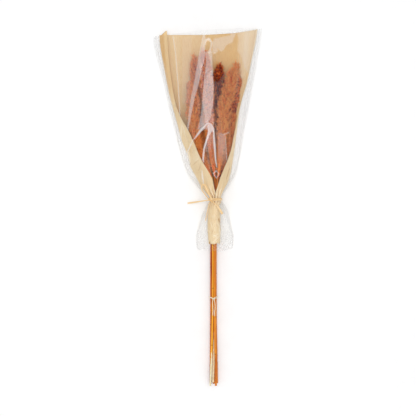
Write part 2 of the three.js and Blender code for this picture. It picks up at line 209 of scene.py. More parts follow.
film_left = through(
    (-103, -33.5), (-98.6, -37.6), (-77, -38.5), (-54, -33.5), (-25, -25), (-6, -14),
    (-3, -NECK_FILM), (3, -NECK_FILM), (14, -25.5), (30, -39.5), (53, -56), (103, -73),
    (139, -81.4), (181, -92.1), (239, -104.9), (325, -124.8), (340, -125.4),
)
film_right = through(
    (-103, 33.5), (-98.6, 34.8), (-77, 36.3), (-54, 31.8), (-22, 24.5), (-7, 16),
    (-3, NECK_FILM), (3, NECK_FILM), (14, 18), (26, 27), (58, 42.5), (100, 51.5),
    (139, 58), (219, 73.6), (340, 95.6),
)
film_top = through(
    (-103, 28), (-51, 29), (-4, NECK_HEIGHT + NECK_FILM), (4, NECK_HEIGHT + NECK_FILM),
    (30, 33), (60, 40), (110, 44.5), (180, WRAP_TOP), (250, 45), (332, 38), (345, 37),
)
film_flatness = through((-103, 1), (-45, 0.9), (-6, 0), (5, 0), (48, 0.85), (90, 1))
mouth_line = through((-124.8, -3.2), (-91, -2), (-11, 4.4), (95, 12.8))
hem_line = through((-37, 2), (-12, 0.6), (6, -0.8), (34, 4.4))

paper_left = through(
    (-TUBE_LENGTH, -14), (-48, -16), (-18, -13.6), (-13, -11.8), (-5, -NECK_PAPER),
    (4, -NECK_PAPER),
    (14, -18.5), (29, -29.9), (48, -39.7), (68, -50.5), (93, -57.3), (118, -67.1),
    (160, -78.5), (198, -89.4), (239, -98.3), (328, -112.7), (345, -113.2),
)
paper_right = through(
    (-TUBE_LENGTH, 9), (-40, 10.4), (-19, 8), (-12, 7.8), (-5, NECK_PAPER), (4, NECK_PAPER),
    (14, 13.8), (39, 26.5), (81, 35.4), (106, 39.1), (139, 43), (168, 46.8), (196, 52.4),
    (229, 62.2), (272, 72), (326, 84.4), (345, 86.6),
)
left_flap = through(
    (0, 0), (13, -0.3), (23, -2.5), (38, -5.7), (54, -13.3), (73, -24.9), (89, -33.1),
    (118, -44.8), (142, -56.4), (168, -71), (186, -78), (203, -82.4), (221, -85.8),
    (279, -93.8), (337, -98.5),
)
right_flap = through(
    (0, 0), (13, 0.3), (23, 3.3), (48, 11.7), (73, 22.3), (102, 31.9), (139, 39.6),
    (165, 44.6), (192, 50.6), (229, 61), (272, 70.8), (345, 85.4),
)
paper_edge_height = through((0, NECK_HEIGHT), (30, 8), (100, 5), (200, 4.5), (345, 5))
paper_flatness = through((-40, 0), (6, 0), (50, 0.85), (90, 1))


def lens(x_share, edge, top, floor):
    """Heights of a lying wrap's front and back, from a share of its half width."""
    share = np.clip(np.abs(x_share), 0, 1)
    front = edge + (top - edge) * (1 - share**2) ** 1.2
    back = floor + (edge - floor) * share**10
    return front, back


def wrap_points(angle, left, right, top, edge, floor, flatness, neck_radius):
    """Points on a wrap's section: round at the neck, a flat-backed lens further off."""
    across = np.cos(angle)
    front, back = lens(across, edge, top, floor)
    flat = np.where(np.sin(angle) > 0, front, back)
    round_height = NECK_HEIGHT + neck_radius * np.sin(angle)
    x = (left + right) / 2 + (right - left) / 2 * across
    return x, flat * flatness + round_height * (1 - flatness)


def film_section(angle, y):
    return wrap_points(
        angle, film_left(y), film_right(y), film_top(y), FILM_EDGE, FILM_FLOOR,
        film_flatness(y), NECK_FILM,
    )


def paper_section(angle, y):
    return wrap_points(
        angle, paper_left(y), paper_right(y), film_top(y) - PAPER_UNDER_FILM,
        paper_edge_height(y), PAPER_FLOOR, paper_flatness(y), NECK_PAPER,
    )


def paper_front(x, y):
    """The height of the paper's front, or of where it would be, at a point seen from above."""
    left, right = paper_left(y), paper_right(y)
    share = (x - (left + right) / 2) / ((right - left) / 2)
    return lens(share, paper_edge_height(y), film_top(y) - PAPER_UNDER_FILM, PAPER_FLOOR)[0]


# ---- making meshes


def put(points):
    """Millimetres from the neck, with z from the table, as the frame's metres."""
    return (np.asarray(points, float) + [NECK[0], NECK[1], 0]) * MM


def make_piece(name, points, faces, materials, slot, node, **values):
    """A piece that stands for a CAD node, with the values at its points that its material reads."""
    mesh = bpy.data.meshes.new(name)
    mesh.from_pydata(put(points).tolist(), [], faces)
    for material in materials:
        mesh.materials.append(material)
    mesh.polygons.foreach_set("use_smooth", [True] * len(mesh.polygons))
    mesh.update()
    for key, value in values.items():
        attribute = mesh.attributes.new(key, "FLOAT", "POINT")
        attribute.data.foreach_set("value", np.asarray(value, np.float32))
    piece = bpy.data.objects.new(name, mesh)
    bpy.context.scene.collection.objects.link(piece)
    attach(piece, BODY)
    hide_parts(node)
    return piece


def grid_faces(rows, columns, closed, start=0, flip=False):
    """Quads of a grid of points numbered row by row."""
    row, column = np.meshgrid(
        np.arange(rows - 1), np.arange(columns if closed else columns - 1), indexing="ij"
    )
    row, column = row.ravel(), column.ravel()
    following = (column + 1) % columns
    a = start + row * columns + column
    d = start + row * columns + following
    b, c = a + columns, d + columns
    return np.stack([a, d, c, b] if flip else [a, b, c, d], axis=1).tolist()


def tube_faces(rows, columns, closed=False):
    """Faces of a tube of rings, which meets its own start or has two flat ends."""
    if closed:
        faces = grid_faces(rows + 1, columns, True, flip=True)
        return [[i % (rows * columns) for i in face] for face in faces]
    last = (rows - 1) * columns
    ends = [list(range(columns)), [last + i for i in reversed(range(columns))]]
    return grid_faces(rows, columns, True, flip=True) + ends


def frames_along(line):
    """Unit vectors along a line of points, to its side and out of its face, kept level."""
    tangent = np.gradient(line, axis=0)
    tangent /= np.linalg.norm(tangent, axis=1)[:, None]
    side = np.cross(tangent, [0, 0, 1.0])
    side /= np.linalg.norm(side, axis=1)[:, None]
    return side, np.cross(side, tangent)


def steps(line):
    """The distance along a line of points, at each of them."""
    return np.concatenate([[0], np.cumsum(np.linalg.norm(np.diff(line, axis=0), axis=1))])


def resample(points, count):
    """A smooth line with evenly spaced points through a few chosen ones."""
    points = np.asarray(points, float)
    padded = np.vstack([2 * points[0] - points[1], points, 2 * points[-1] - points[-2]])
    fine = []
    for i in range(len(points) - 1):
        p0, p1, p2, p3 = padded[i : i + 4]
        t = np.linspace(0, 1, 24, endpoint=False)[:, None]
        fine.append(
            0.5 * (2 * p1 + (p2 - p0) * t + (2 * p0 - 5 * p1 + 4 * p2 - p3) * t**2
                   + (3 * p1 - p0 - 3 * p2 + p3) * t**3)
        )
    fine = np.vstack([*fine, points[-1:]])
    along = steps(fine)
    even = np.linspace(0, along[-1], count)
    return np.stack([np.interp(even, along, fine[:, k]) for k in range(3)], axis=1)


def sweep(line, rings):
    """A closed surface of rings along a line: each point's place across and up, ring by ring."""
    side, up = frames_along(line)
    points = line[:, None] + rings[:, :, :1] * side[:, None] + rings[:, :, 1:] * up[:, None]
    return points.reshape(-1, 3), tube_faces(*rings.shape[:2])


def joined(parts):
    """Several (points, faces) as one."""
    points, faces, start = [], [], 0
    for part_points, part_faces in parts:
        points.append(part_points)
        faces.extend([[start + i for i in face] for face in part_faces])
        start += len(part_points)
    return np.vstack(points), faces


# ---- materials


def rgba(color):
    """A colour as linear RGBA, from an sRGB hex code or from the number of a grey."""
    if not isinstance(color, str):
        return (color, color, color, 1)
    parts = [int(color[i : i + 2], 16) / 255 for i in (0, 2, 4)]
    spread = [c / 12.92 if c <= 0.04045 else ((c + 0.055) / 1.055) ** 2.4 for c in parts]
    return (*spread, 1)


class Nodes:
    """A short way to write a material's node tree."""

    def __init__(self, name):
        self.material = bpy.data.materials.new(name)
        self.material.use_nodes = True
        self.tree = self.material.node_tree
        self.tree.nodes.clear()
        self.output = self.tree.nodes.new("ShaderNodeOutputMaterial")

    def add(self, kind, inputs=None, **settings):
        node = self.tree.nodes.new("ShaderNode" + kind)
        for key, value in settings.items():
            setattr(node, key, value)
        for key, value in (inputs or {}).items():
            self.set(node.inputs[key], value)
        return node

    def set(self, socket, value):
        if isinstance(value, bpy.types.NodeSocket):
            self.tree.links.new(value, socket)
        else:
            socket.default_value = rgba(value) if isinstance(value, str) else value

    def noise(self, scale, detail=4, stretch=(1, 1, 1), distortion=0):
        where = self.add("TexCoord").outputs["Object"]
        place = self.add("Mapping", {"Vector": where, "Scale": stretch}).outputs["Vector"]
        inputs = {"Vector": place, "Scale": scale, "Detail": detail, "Distortion": distortion}
        return self.add("TexNoise", inputs).outputs["Fac"]

    def ramp(self, value, *stops):
        node = self.add("ValToRGB", {"Fac": value})
        elements = node.color_ramp.elements
        while len(elements) < len(stops):
            elements.new(0.5)
        for element, (position, color) in zip(elements, stops):
            element.position = position
            element.color = rgba(color)
        return node.outputs["Color"]

    def mix(self, share, first, second, blend="MIX"):
        node = self.add("Mix", data_type="RGBA", blend_type=blend)
        for socket, value in zip((0, 6, 7), (share, first, second)):
            self.set(node.inputs[socket], value)
        return node.outputs[2]

    def maths(self, operation, *values):
        node = self.add("Math", operation=operation)
        for socket, value in zip(node.inputs, values):
            self.set(socket, value)
        return node.outputs[0]

    def value(self, name):
        return self.add("Attribute", attribute_name=name).outputs["Fac"]

    def bump(self, height, strength, distance):
        inputs = {"Height": height, "Strength": strength, "Distance": distance}
        return self.add("Bump", inputs).outputs["Normal"]

    def finish(self, shader):
        self.tree.links.new(shader, self.output.inputs["Surface"])
        return self.material

    def principled(self, inputs):
        return self.finish(self.add("BsdfPrincipled", inputs).outputs["BSDF"])


def kraft_material():
    n = Nodes("kraft_paper")
    clouds = n.noise(14, 3, (1, 0.5, 1))
    fibres = n.noise(900, 3, (1, 0.12, 1))
    specks = n.noise(2200, 2)
    outside = n.mix(clouds, "E4C79F", "F1DCBA")
    inside = n.mix(clouds, "D6AD78", "E3BF8C")
    base = n.mix(n.value("inside"), outside, inside)
    base = n.mix(0.35, base, n.ramp(fibres, (0.3, "B98F5C"), (0.62, "F5E3C0")), "SOFT_LIGHT")
    base = n.mix(n.ramp(specks, (0.66, 0), (0.74, 1)), base, "B4864F")
    # Painted shade in the folds' valleys and painted highlight on their ridges, from the fold
    # value.
    fold = n.value("fold")
    base = n.mix(n.ramp(fold, (0.1, 0.7), (0.46, 0)), base, "BC8A54")
    base = n.mix(n.ramp(fold, (0.56, 0), (0.95, 0.6)), base, "FFF2D8")
    height = n.maths("ADD", n.maths("MULTIPLY", fibres, 0.5), clouds)
    return n.principled({
        "Base Color": base,
        "Roughness": n.maths("MULTIPLY_ADD", fibres, 0.2, 0.62),
        "Normal": n.bump(height, 0.4, 0.0005),
        "Specular IOR Level": 0.25,
    })


def plume_material():
    n = Nodes("plume_hair")
    tufts = n.noise(240, 4)
    clumps = n.noise(120, 2)
    shade = n.maths("MULTIPLY_ADD", n.value("shade"), 0.8, -0.43)
    shade = n.maths("MULTIPLY_ADD", tufts, 0.75, n.maths("MULTIPLY_ADD", clumps, 0.7, shade))
    tones = ((0.12, "74200A"), (0.31, "C8460C"), (0.52, "FF7A28"), (0.8, "FFA656"))
    return n.principled({
        "Base Color": n.ramp(shade, *tones),
        "Roughness": n.maths("MULTIPLY_ADD", tufts, 0.2, 0.62),
        "Specular IOR Level": 0.25,
        "Sheen Weight": 0.08,
        "Sheen Roughness": 0.4,
    })


def stem_material(name, dark, middle, light):
    n = Nodes(name)
    streaks = n.noise(260, 4, (1, 0.03, 1), 0.3)
    patches = n.noise(38, 3, (1, 0.35, 1), 0.6)
    tone = n.maths("MULTIPLY_ADD", streaks, 0.45, n.maths("MULTIPLY", patches, 0.6))
    base = n.ramp(tone, (0.36, dark), (0.5, middle), (0.64, light))
    return n.principled({
        "Base Color": n.mix(n.value("joint"), base, "5C2408"),
        "Roughness": n.maths("MULTIPLY_ADD", streaks, 0.25, 0.3),
        "Normal": n.bump(streaks, 0.4, 0.0003),
        "Specular IOR Level": 0.25,
        "Coat Weight": 0.12,
        "Coat Roughness": 0.2,
    })


def pith_material():
    n = Nodes("cut_pith")
    fibres = n.noise(1500, 3, (1, 0.08, 1))
    return n.principled({
        "Base Color": n.ramp(fibres, (0.35, "DCC68E"), (0.65, "F6EECB")),
        "Roughness": 0.8,
        "Normal": n.bump(fibres, 0.6, 0.0003),
    })


def raffia_material():
    n = Nodes("raffia_strip")
    fibres = n.value("grain")
    patches = n.noise(90, 3)
    base = n.mix(patches, "EDC88E", "F8E0B8")
    return n.principled({
        "Base Color": n.mix(n.ramp(fibres, (0.25, 1), (0.5, 0)), base, "DEAC68"),
        "Roughness": n.maths("MULTIPLY_ADD", patches, 0.2, 0.42),
        "Normal": n.bump(fibres, 0.5, 0.0003),
        "Sheen Weight": 0.15,
    })


def string_material():
    n = Nodes("twisted_string")
    fibres = n.noise(2600, 3)
    return n.principled({
        "Base Color": n.ramp(fibres, (0.3, "E6D6B0"), (0.7, "FFF8E6")),
        "Roughness": 0.85,
        "Normal": n.bump(fibres, 0.5, 0.0002),
        "Sheen Weight": 0.3,
    })


def film_material():
    n = Nodes("clear_film")
    ripple = n.noise(55, 2, (1, 0.3, 1), 0.8)
    cloud = n.noise(26, 3, (1, 0.4, 1), 0.4)
    normal = n.bump(ripple, 0.1, 0.002)
    # Both faces of the thin film mirror alike, seen from outside or from inside.
    edge_on = n.add("LayerWeight", {"Blend": 0.5, "Normal": normal}).outputs["Facing"]
    facing = n.maths("MULTIPLY_ADD", n.maths("POWER", edge_on, 5.0), 0.96, 0.04)
    mirror = n.maths("MULTIPLY", n.maths("MULTIPLY", facing, n.value("shine")), 1.4)
    clear = n.add("BsdfTransparent", {"Color": (0.956, 0.956, 0.954, 1)}).outputs[0]
    gloss = n.add("BsdfGlossy", {"Color": rgba(1), "Roughness": 0.08, "Normal": normal})
    white = n.add("BsdfDiffuse", {"Color": rgba(0.93)}).outputs[0]
    # A diffuse white mixed into the film: its own haze, and painted glare where its folds would
    # reflect the lights.
    milk = n.maths("MULTIPLY", n.value("milk"), n.maths("MULTIPLY_ADD", cloud, 0.5, 0.78))
    hazy = n.add("MixShader", {0: milk, 1: clear, 2: white}).outputs[0]
    mirror = n.maths("MINIMUM", mirror, 1.0)
    return n.finish(n.add("MixShader", {0: mirror, 1: hazy, 2: gloss.outputs[0]}).outputs[0])


def floor_material():
    n = Nodes("pale_floor")
    return n.principled({
        "Base Color": n.ramp(n.noise(30, 3), (0.3, 0.93), (0.7, 0.96)),
        "Roughness": 0.9,
        "Specular IOR Level": 0.1,
    })


KRAFT = kraft_material()
PLUME = plume_material()
PITH = pith_material()
RAFFIA_STRIP = raffia_material()
STRING = string_material()
FILM = film_material()
STEM_TONES = {
    "red": stem_material("stem_red", "561804", "A8440A", "D87C18"),
    "brown": stem_material("stem_brown", "7E2E06", "B85A0A", "D4780F"),
    "amber": stem_material("stem_amber", "B86208", "E48E12", "F7B02A"),
    "orange": stem_material("stem_orange", "9E4404", "CC6E08", "E68E18"),
}

# ---- wrap: kraft paper and film


def pleat(angle, y, seed, folds, height, reach):
    """The radial folds of a gathered wrap: high at the neck and dying away from it."""
    total = np.zeros_like(angle)
    for k, count in enumerate(folds):
        drift = 0.35 * wander(y, seed + k, 3, 60) / 3
        wave = triangle(count * angle / TURN + drift + 0.31 * k)
        total += wave / (1 + k)
    return height * np.exp(-np.abs(y) / reach) * total


# Creases on the paper's front, as (x, y, width) stations: first on the tube, then on the left flap.
# These pale lines are painted highlights along the creases' ridges.
PAINTED_HIGHLIGHT_CREASES = [
    [(-4.4, -73, 1.2), (3, -70, 2), (8.8, -68, 1)],
    [(-0.6, -80, 1), (4, -77, 1.8), (8.8, -72.4, 1)],
    [(-12, -85.3, 1), (-5, -84, 1.6), (3.2, -81, 1)],
    [(3.2, -46.6, 0.8), (6, -51, 1.8), (9.3, -57, 1)],
    [(-10.1, -44.7, 0.8), (-8, -51, 1.6), (-6.3, -57, 0.8)],
    [(-14.9, -60, 0.8), (-12, -64.5, 1.6), (-9.6, -67.6, 0.8)],
    [(-68.9, 151.4, 1.4), (-68.3, 138.8, 2.4), (-67.8, 123.9, 1)],
    [(-63.7, 145.7, 0.8), (-62.4, 137, 1.6), (-61.4, 129.6, 0.8)],
    [(-53.6, 94, 3), (-52.6, 84, 4.4), (-51.7, 74, 2.4)],
    [(-41, 76.6, 1), (-34.5, 80.6, 1.8)],
]
# Painted shade along creases on the paper's front, as (x, y, width) stations.
PAINTED_SHADE_CREASES = [
    [(-33.9, 78.5, 1), (-39.6, 74, 1.8), (-45.4, 68.8, 1)],
    [(-29.3, 72.2, 0.8), (-31.6, 63, 1.6), (-35, 57.3, 0.8)],
    [(12, 60, 0.8), (16, 72, 1.6), (19, 80, 0.8)],
    [(22, 40, 0.8), (25, 50, 1.6), (29, 66, 0.8)],
]


def make_paper():
    tube_ys = np.linspace(-TUBE_LENGTH, -6, 70)
    cone_ys = 6 + (CONE_LENGTH - 10.5) * np.linspace(0, 1, 220) ** 1.12
    ys = np.concatenate([tube_ys, np.linspace(-5.2, 5.2, 10), cone_ys])
    rows, columns = len(ys), 260
    share = np.linspace(0, 1, columns)

    def edge_angle(x, y):
        middle = (paper_left(y) + paper_right(y)) / 2
        half = (paper_right(y) - paper_left(y)) / 2
        return np.arccos(np.clip((x - middle) / half, -0.995, 0.995))

    # From flap edge to flap edge round the back. Below the neck the edges lap over each other.
    overlap = 0.5 * smooth(-ys, -2, 14)
    seam = math.pi / 2
    open_up = smooth(ys, 4, 16)
    starts = (seam + 0.02) * (1 - open_up) + edge_angle(left_flap(ys), ys) * open_up - overlap
    ends = (seam - 0.02) * (1 - open_up) + edge_angle(right_flap(ys), ys) * open_up
    ends = TURN + ends + 0.6 * overlap
    angle = starts[:, None] + (ends - starts)[:, None] * share
    y = np.repeat(ys[:, None], columns, axis=1)
    x, z = paper_section(angle, y)
    in_front = np.sin(angle) > 0

    # How far the gathers and the creases stand out.
    front = smooth(np.sin(angle), -0.2, 0.3)
    tube = smooth(-y, 4, 20)
    upper = smooth(y, 4, 20)
    gathers = pleat(angle, y, 3, (11, 17, 27), 1.9, np.where(y > 0, 22, 10))
    crumple, _ = creases(
        x, y, 11, 30, ((-16, -92), (14, -24)), (12, 34), (3, 8), (0.2, 0.7), 1.0
    )
    long_folds, _ = creases(
        x, y, 21, 34, ((-90, 10), (60, 300)), (50, 160), (4, 16), (0.2, 0.9), 0.3
    )
    small, _ = creases(x, y, 31, 60, ((-75, 8), (45, 150)), (8, 32), (2, 6), (0.1, 0.4), 0.8)
    spiral = 0.55 * (share - 0.5)[None, :] * tube
    out = gathers + tube * crumple + spiral + upper * (long_folds + small) * (0.25 + 0.75 * front)
    out = np.clip(out, -2.0, np.where(upper > 0.5, 1.2, 0.9))

    # Painted shade darkens the folds' valleys and painted highlight pales their ridges.
    valley = smooth(-out, 0.15, 1.5) * (tube + np.exp(-np.abs(y) / 24))
    fold = 0.5 - 0.5 * np.clip(valley, 0, 1) + 0.5 * smooth(out, 0.2, 1.1)
    for strength, marks in ((0.5, PAINTED_HIGHLIGHT_CREASES), (-0.48, PAINTED_SHADE_CREASES)):
        for stations in marks:
            fold += strength * streak(x, y, *stations) * in_front
    # The left flap has a painted highlight low down, and is browner along the top of its outer
    # edge.
    fold += 0.22 * np.exp(-(((x + 38) / 12) ** 2) - ((y - 82) / 20) ** 2) * in_front
    fold -= 0.16 * smooth(y, 220, 290) * (1 - smooth(x - left_flap(y), -9, -4)) * in_front
    fold = np.clip(fold, 0, 1)

    # The top edge: a folded corner on the left flap, and a slack line across the back.
    top_line = np.where(
        (angle < math.pi) & (x < left_flap(332.0) + 16),
        -2.2 + 10 * smooth(x, -112, -98),
        through((-112, -0.6), (-98, 0.5), (-31, 0.8), (29, 4), (85, 12.2))(x),
    )
    bottom_line = 2.2 * wander(angle * 4, 5, 5, 1.6) * smooth(-y, TUBE_LENGTH - 14, TUBE_LENGTH)
    y = y + (top_line + 4.5) * (y / CONE_LENGTH) ** 6 + np.maximum(bottom_line, -1.5)

    away_x = x - (paper_left(ys) + paper_right(ys))[:, None] / 2
    away_z = z - np.minimum(z, NECK_HEIGHT * (1 - upper) + 4 * upper)
    lengths = np.hypot(away_x, away_z) + 1e-6
    on_back = (np.sin(angle) < -0.3) * upper > 0.5
    layers = []
    for depth in (0.0, PAPER_THICKNESS):
        moved_x = x + away_x / lengths * (out - depth)
        moved_z = z + away_z / lengths * (out - depth)
        moved_z = np.where(on_back, np.maximum(moved_z, LOWEST_PAPER) + depth, moved_z)
        moved_z = np.maximum(moved_z, LOWEST_PAPER + depth)
        layers.append(np.stack([moved_x, y, moved_z], axis=-1).reshape(-1, 3))

    # The two layers' quads, and those of the four edges between them.
    size = rows * columns
    faces = grid_faces(rows, columns, False)
    faces += grid_faces(rows, columns, False, size, flip=True)
    for first, count, step, turned in (
        (0, rows - 1, columns, True),
        (columns - 1, rows - 1, columns, False),
        (0, columns - 1, 1, False),
        (size - columns, columns - 1, 1, True),
    ):
        for a in range(first, first + count * step, step):
            quad = [a, a + step, size + a + step, size + a]
            faces.append([quad[0], *quad[:0:-1]] if turned else quad)

    # The upper end of the left flap is as tan as the inside.
    tanned = smooth(y, 185, 250) * (angle < math.pi) * (x < 0)
    tanned *= 1.3 - 0.7 * smooth(x - left_flap(y), -10, -4)
    # Painted light pales the inside beside the left flap, where the flap shades it, and towards the
    # right edge.
    inner = 1 - 0.4 * (1 - smooth(x, -84, -62)) * smooth(y, 140, 200) - 0.7 * smooth(x, 40, 60)
    inner -= 0.3 * (1 - smooth(x, -40, -20)) * smooth(y, 160, 200)
    return make_piece(
        "kraft_paper", np.vstack(layers), faces, [KRAFT], "kraft_paper", "kraft_paper_wrap",
        inside=np.concatenate([tanned.ravel(), inner.ravel()]), fold=np.tile(fold.ravel(), 2),
    )


# Thin lines of light on the film's front, as how white they are and (x, y, width) stations: the
# arch and its legs, the panel's edges, the small diamond, and the lines along the paper's flap.
GLINTS = [
    (0.5, [(-44.6, 117.6, 1), (-36.5, 127, 3.4), (-30, 135.5, 4.8), (-23, 143, 4), (-17, 149, 2.4),
           (-13.5, 150.5, 2), (-8.6, 148, 2), (-4, 141, 2), (-3, 136.5, 2)]),
    (0.5, [(-14.3, 129.6, 3), (-17.8, 116.9, 3.4), (-23, 98.6, 3), (-24.7, 79.1, 3),
           (-23.6, 73.4, 1)]),
    (0.5, [(-3.5, 135.4, 2.5), (-2.9, 121.6, 3.2), (-1.7, 104.4, 4.2), (-0.6, 87.2, 3.4),
           (0.5, 75.7, 2.6), (2.8, 63, 1.2)]),
    (0.28, [(19.4, 126, 1.6), (22.6, 78, 1.6)]),
    (0.28, [(8, 131, 1.2), (15, 128, 2), (19, 129.5, 2), (27, 133.5, 1.4)]),
    (0.42, [(1.8, 56.4, 1.2), (7.4, 50.1, 1), (1.8, 42.4, 1.2), (-4.5, 51.5, 1.6),
            (1.8, 56.4, 2.4)]),
    (0.34, [(-84.8, 327, 1.8), (-80, 296, 1.8), (-73.7, 219, 2), (-71, 170, 2)]),
    (0.5, [(-45, 117, 1.5), (-56.4, 94.3, 2.2), (-51, 70, 1.4)]),
    (0.5, [(-27, 57.3, 1.4), (-25.3, 43.5, 3), (-23.6, 30.9, 1.4)]),
]


def film_haze_and_glare(x, y):
    """How white the film's front looks at a point: painted glare where its folds catch the light,
    and haze.
    """
    hazed_left = band(
        x, y, 150, 326, through((150, -67), (219, -72.5), (296, -79), (327, -84)),
        through((150, -54), (219, -40), (257, -33), (281, -27), (327, -23)),
    )
    pale_left = band(
        x, y, 190, 322, through((190, -66), (322, -66)), through((190, -52), (322, -47))
    )
    milk = 0.05 * hazed_left + 0.06 * pale_left
    long_fold = band(
        x, y, 138, 329,
        through((139, -57), (173, -53), (201, -49), (219, -45), (257, -38), (282, -33.7),
                (328, -24.5)),
        through((139, -54), (173, -47), (201, -41), (219, -36), (257, -27.3), (282, -21),
                (300, -20.5), (328, -20)), 0.8,
    )
    middle_fold = band(
        x, y, 138, 292,
        through((138, -36), (150, -32.5), (173, -28.3), (208, -25.5), (243, -22.3),
                (272, -18.7), (289, -21)),
        through((138, -14), (150, -14.3), (159, -10), (173, -7.6), (187, -4.5), (219, -3.6),
                (257, -5.9), (289, -6.6)), 0.8,
    )
    eye_rim = streak(
        x, y, (-12, 289, 3), (-8.5, 300, 2.5), (-8, 308, 3), (-13, 315, 4), (-19, 313, 4.5),
        (-23, 304, 4), (-25, 293, 4),
    )
    eye = patch(
        x, y, (-20, 302), (-15, 309.5), (-10, 309), (-12.5, 296), (-17, 289.5), (-21, 290.5)
    )
    for strength, shape in ((0.27, long_fold), (0.22, middle_fold), (0.36, eye_rim)):
        milk = np.maximum(milk, strength * shape)
    milk *= 1 - eye

    crumpled = patch(
        x, y, (-6.6, 307), (-3, 314), (10, 316.6), (28, 319.4), (37, 327), (44, 333), (46, 332),
        (37, 316), (34, 307), (28, 305), (21, 301), (17, 294), (11, 288.7), (7, 293), (2.7, 297),
        (5.6, 290), (-1.6, 286), (-5.9, 288.7),
    )
    right_pane = patch(
        x, y, (40, 334), (90, 343), (78, 290), (66, 250), (58, 262), (52, 280), (43, 292), (46, 312)
    )
    right_glow = band(
        x, y, 240, 336, through((240, 50), (336, 60)), through((240, 60), (336, 70)), 3
    )
    shoulder = patch(
        x, y, (-15.2, 149), (-9, 148), (-3.5, 140), (-3.3, 135), (-7.6, 133), (-11, 127),
        (-14.2, 118), (-17, 118), (-15.5, 130),
    )
    panel = smooth(y, 60, 105) * band(
        x, y, 66, 130, through((63, 5), (131, 5.3)), through((66, 22), (77, 21.5), (125, 18)), 0.8
    )
    pane = 0.14 * right_pane + 0.08 * right_glow
    shapes = [0.21 * crumpled, pane, 0.375 * shoulder, 0.15 * panel]
    shapes += [strength * streak(x, y, *line) for strength, line in GLINTS]
    return np.maximum.reduce([milk, *shapes])


def make_film():
    skirt_ys = np.linspace(-SKIRT_LENGTH, -6, 80)
    cone_ys = 6 + (CONE_LENGTH - 6) * np.linspace(0, 1, 210) ** 1.05
    ys = np.concatenate([skirt_ys, np.linspace(-5, 5, 10), cone_ys])
    even = np.linspace(1, -1, 233)
    spread = 0.5 * even + 0.5 * np.sin(even * math.pi / 2)
    over_back = math.pi + np.linspace(0, math.pi, 85)[1:-1]
    around = np.concatenate([np.arccos(np.clip(spread, -1, 1)), over_back])
    rows, columns = len(ys), len(around)
    angle = np.repeat(around[None, :], rows, axis=0)
    y = np.repeat(ys[:, None], columns, axis=1)
    x, z = film_section(angle, y)
    is_front = (np.sin(angle) > 0) * 1.0
    # Creases stay off the flat margins, which are smooth beside the paper.
    front = smooth(np.sin(angle), 0.12, 0.42)
    upper = smooth(y, 5, 30)
    lower = smooth(-y, 5, 25)
    flatness = film_flatness(y)

    folds = pleat(angle, y, 71, (14, 23, 37), 0.75, np.where(y > 0, 26, 11))
    folds += pleat(angle, y, 77, (19, 31), 0.12, 110)
    big, big_ridge = creases(
        x, y, 41, 26, ((-100, 40), (80, 320)), (70, 220), (10, 34), (0.2, 0.9), 0.2
    )
    sharp, sharp_ridge = creases(
        x, y, 51, 40, ((-100, 20), (80, 320)), (20, 90), (3, 9), (0.1, 0.4), 0.5
    )
    skirt, skirt_ridge = creases(
        x, y, 61, 22, ((-36, -100), (36, -12)), (30, 90), (8, 20), (0.05, 0.2), 0.3
    )
    creased = upper * front * (np.abs(big) + np.abs(sharp)) + lower * front * np.abs(skirt)
    lift = np.abs(folds) * 0.8 + is_front * creased
    lift = np.where(is_front > 0, lift, lift * (1 - flatness))
    middle = (film_left(y) + film_right(y)) / 2
    away_x = x - middle
    away_z = z - (NECK_HEIGHT * (1 - flatness) + 3 * flatness)
    lengths = np.hypot(away_x, away_z) + 1e-6
    milk = is_front * film_haze_and_glare(x, y)
    x = x + away_x / lengths * lift * (1 - 0.8 * flatness)
    z = np.maximum(z + away_z / lengths * lift + 1.2 * milk * front, LOWEST_FILM)

    # Long folds beside the paper, the ridges of the creases and the gathers by the neck get painted
    # white highlights too.
    side = np.abs((x - middle) / (film_right(y) - film_left(y)) * 2)
    side_folds = 0.16 * np.exp(-(((side - 0.955) / 0.012) ** 2))
    side_folds += 0.22 * np.exp(-(((side - 0.905 - 0.01 * wander(y, 7, 3, 90)) / 0.01) ** 2))
    ridges = 0.08 * upper * front * np.maximum(big_ridge * 0.6, sharp_ridge)
    ridges += 0.16 * lower * skirt_ridge
    gather = 0.22 * np.exp(-((y - 3) ** 2) / 250) * np.clip(folds, 0, 1)
    # Through two smooth places the plumes show dark and clear.
    lower_window = patch(
        x, y, (-43.5, 117), (-16.2, 146.6), (-15.8, 134), (-20, 114), (-25.4, 95), (-27, 80),
        (-33, 89),
    )
    upper_window = patch(
        x, y, (-4, 269), (4, 272), (14, 264), (18, 253), (13, 243), (9, 235), (3, 230),
        (-4, 232), (-6, 241),
    )
    # The film lies close on the tube and on the plumes just above the neck, and shows less there.
    close = np.exp(-(((x + 4) / 15) ** 2)) * (1 - smooth(y, 90, 135))
    clear = is_front * np.maximum(np.maximum(lower_window, upper_window), 0.75 * close)
    milk = np.maximum(milk, (ridges + side_folds * upper + gather) * (1 - clear))

    y = y + mouth_line(x) * (np.clip(y, 0, None) / CONE_LENGTH) ** 5
    y = y + hem_line(x) * (np.clip(-y, 0, None) / SKIRT_LENGTH) ** 5
    return make_piece(
        "film_sleeve", np.stack([x, y, z], axis=-1).reshape(-1, 3),
        grid_faces(rows, columns, True, flip=True), [FILM], "clear_film", "clear_film_sleeve",
        milk=np.clip(milk, 0, 0.7).ravel(), shine=(1 - 0.95 * clear).ravel(),
    )


# ---- plumes and stems


def spine(node):
    """Where a CAD stalk runs: y, x, z, half width and half height at each ring of its mesh."""
    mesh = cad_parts[node].data
    points = np.array([v.co for v in mesh.vertices], float) / MM - [NECK[0], NECK[1], 0]
    rows = []
    for level in np.unique(np.round(points[:, 1], 1)):
        ring = points[np.abs(points[:, 1] - level) < 0.06]
        if len(ring) >= 6:
            low, high = ring.min(0), ring.max(0)
            centre, half = (low + high) / 2, (high - low) / 2
            rows.append([level, centre[0], centre[2], half[0], half[2]])
    return np.array(rows)


